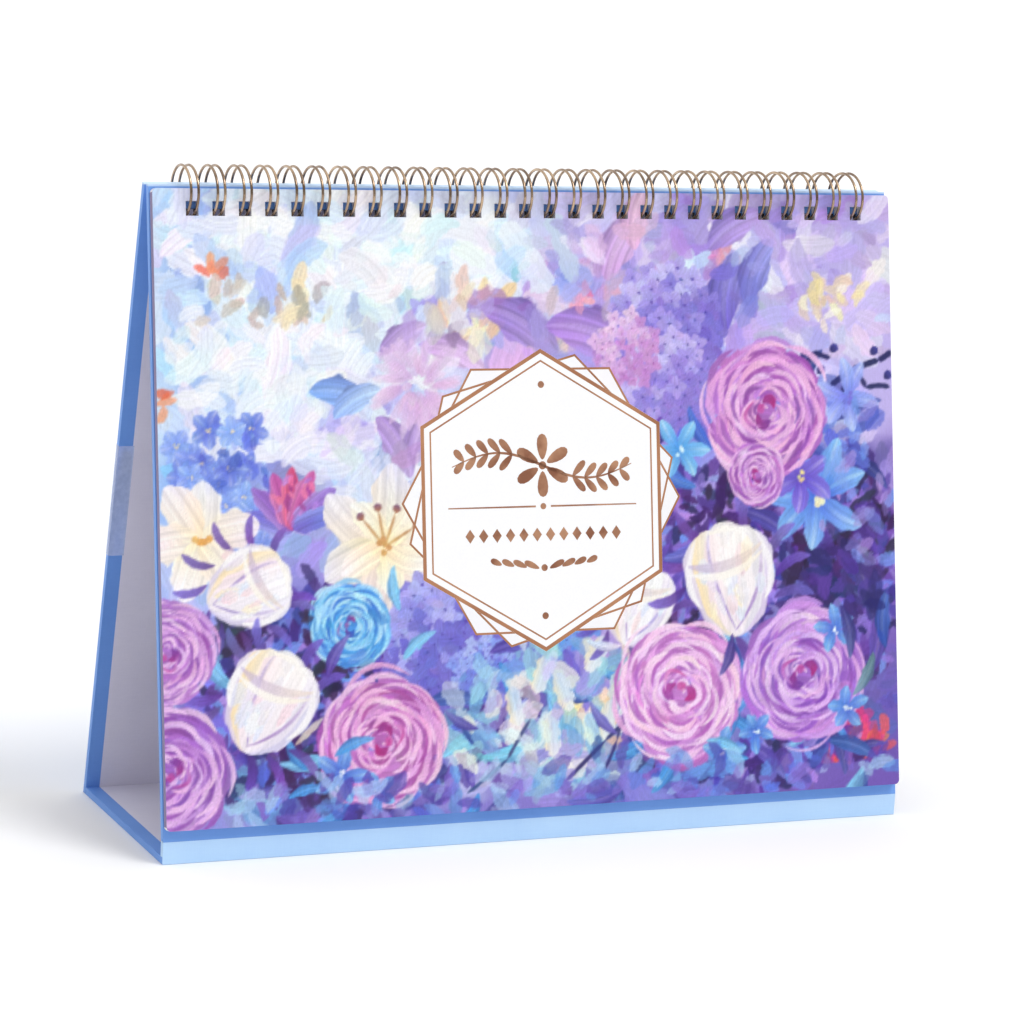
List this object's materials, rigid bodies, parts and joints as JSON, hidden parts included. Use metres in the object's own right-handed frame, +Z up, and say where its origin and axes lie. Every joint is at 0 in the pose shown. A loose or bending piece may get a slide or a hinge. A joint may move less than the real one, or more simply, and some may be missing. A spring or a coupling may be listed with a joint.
{
  "type": "flip desk calendar",
  "caption": "Free-standing A-frame desk calendar with month leaves and a floral cover on a twin-loop wire binding.",
  "frame": {"origin": "middle of the stand's footprint, on the surface that it rests on", "axes": "+X along the wire binding, -Y the side that the cover leaf faces, +Z up"},
  "size_m": [0.2541, 0.0849, 0.2085],
  "materials": {
    "chipboard": "matte",
    "blue_paper": "matte",
    "liner_paper": "matte",
    "film": "satin",
    "binding_wire": "satin",
    "leaf_paper": "matte",
    "cover_print": "satin"
  },
  "bodies": {
    "stand": {"front_board": "chipboard", "spine_board": "chipboard", "base_board_front": "chipboard", "base_board_rear": "chipboard", "back_board": "chipboard", "front_wrap": "blue_paper", "spine_wrap": "blue_paper", "base_wrap": "blue_paper", "back_wrap": "blue_paper", "front_liner": "liner_paper", "base_liner": "liner_paper", "back_liner": "liner_paper", "edge_tab": "film", "wire_binding": "binding_wire"},
    "cover_leaf": {"cover_leaf": "cover_print"},
    "january_leaf": {"january_leaf": "leaf_paper"},
    "february_leaf": {"february_leaf": "leaf_paper"},
    "march_leaf": {"march_leaf": "leaf_paper"},
    "april_leaf": {"april_leaf": "leaf_paper"},
    "may_leaf": {"may_leaf": "leaf_paper"},
    "june_leaf": {"june_leaf": "leaf_paper"},
    "july_leaf": {"july_leaf": "leaf_paper"},
    "august_leaf": {"august_leaf": "leaf_paper"},
    "september_leaf": {"september_leaf": "leaf_paper"},
    "october_leaf": {"october_leaf": "leaf_paper"},
    "november_leaf": {"november_leaf": "leaf_paper"},
    "december_leaf": {"december_leaf": "leaf_paper"}
  },
  "joints": [
    {"name": "turn_cover", "type": "hinge", "parent": "january_leaf", "child": "cover_leaf", "pos_m": [0, -0.00067, 0.2], "axis": [-1, 0, 0], "range_deg": [0, 180]},
    {"name": "turn_january", "type": "hinge", "parent": "february_leaf", "child": "january_leaf", "pos_m": [0, -0.00067, 0.2], "axis": [-1, 0, 0], "range_deg": [0, 180]},
    {"name": "turn_february", "type": "hinge", "parent": "march_leaf", "child": "february_leaf", "pos_m": [0, -0.00067, 0.2], "axis": [-1, 0, 0], "range_deg": [0, 180]},
    {"name": "turn_march", "type": "hinge", "parent": "april_leaf", "child": "march_leaf", "pos_m": [0, -0.00067, 0.2], "axis": [-1, 0, 0], "range_deg": [0, 180]},
    {"name": "turn_april", "type": "hinge", "parent": "may_leaf", "child": "april_leaf", "pos_m": [0, -0.00067, 0.2], "axis": [-1, 0, 0], "range_deg": [0, 180]},
    {"name": "turn_may", "type": "hinge", "parent": "june_leaf", "child": "may_leaf", "pos_m": [0, -0.00067, 0.2], "axis": [-1, 0, 0], "range_deg": [0, 180]},
    {"name": "turn_june", "type": "hinge", "parent": "july_leaf", "child": "june_leaf", "pos_m": [0, -0.00067, 0.2], "axis": [-1, 0, 0], "range_deg": [0, 180]},
    {"name": "turn_july", "type": "hinge", "parent": "august_leaf", "child": "july_leaf", "pos_m": [0, -0.00067, 0.2], "axis": [-1, 0, 0], "range_deg": [0, 180]},
    {"name": "turn_august", "type": "hinge", "parent": "september_leaf", "child": "august_leaf", "pos_m": [0, -0.00067, 0.2], "axis": [-1, 0, 0], "range_deg": [0, 180]},
    {"name": "turn_september", "type": "hinge", "parent": "october_leaf", "child": "september_leaf", "pos_m": [0, -0.00067, 0.2], "axis": [-1, 0, 0], "range_deg": [0, 180]},
    {"name": "turn_october", "type": "hinge", "parent": "november_leaf", "child": "october_leaf", "pos_m": [0, -0.00067, 0.2], "axis": [-1, 0, 0], "range_deg": [0, 180]},
    {"name": "turn_november", "type": "hinge", "parent": "december_leaf", "child": "november_leaf", "pos_m": [0, -0.00067, 0.2], "axis": [-1, 0, 0], "range_deg": [0, 180]},
    {"name": "turn_december", "type": "hinge", "parent": "stand", "child": "december_leaf", "pos_m": [0, -0.00067, 0.2], "axis": [-1, 0, 0], "range_deg": [0, 180]}
  ]
}
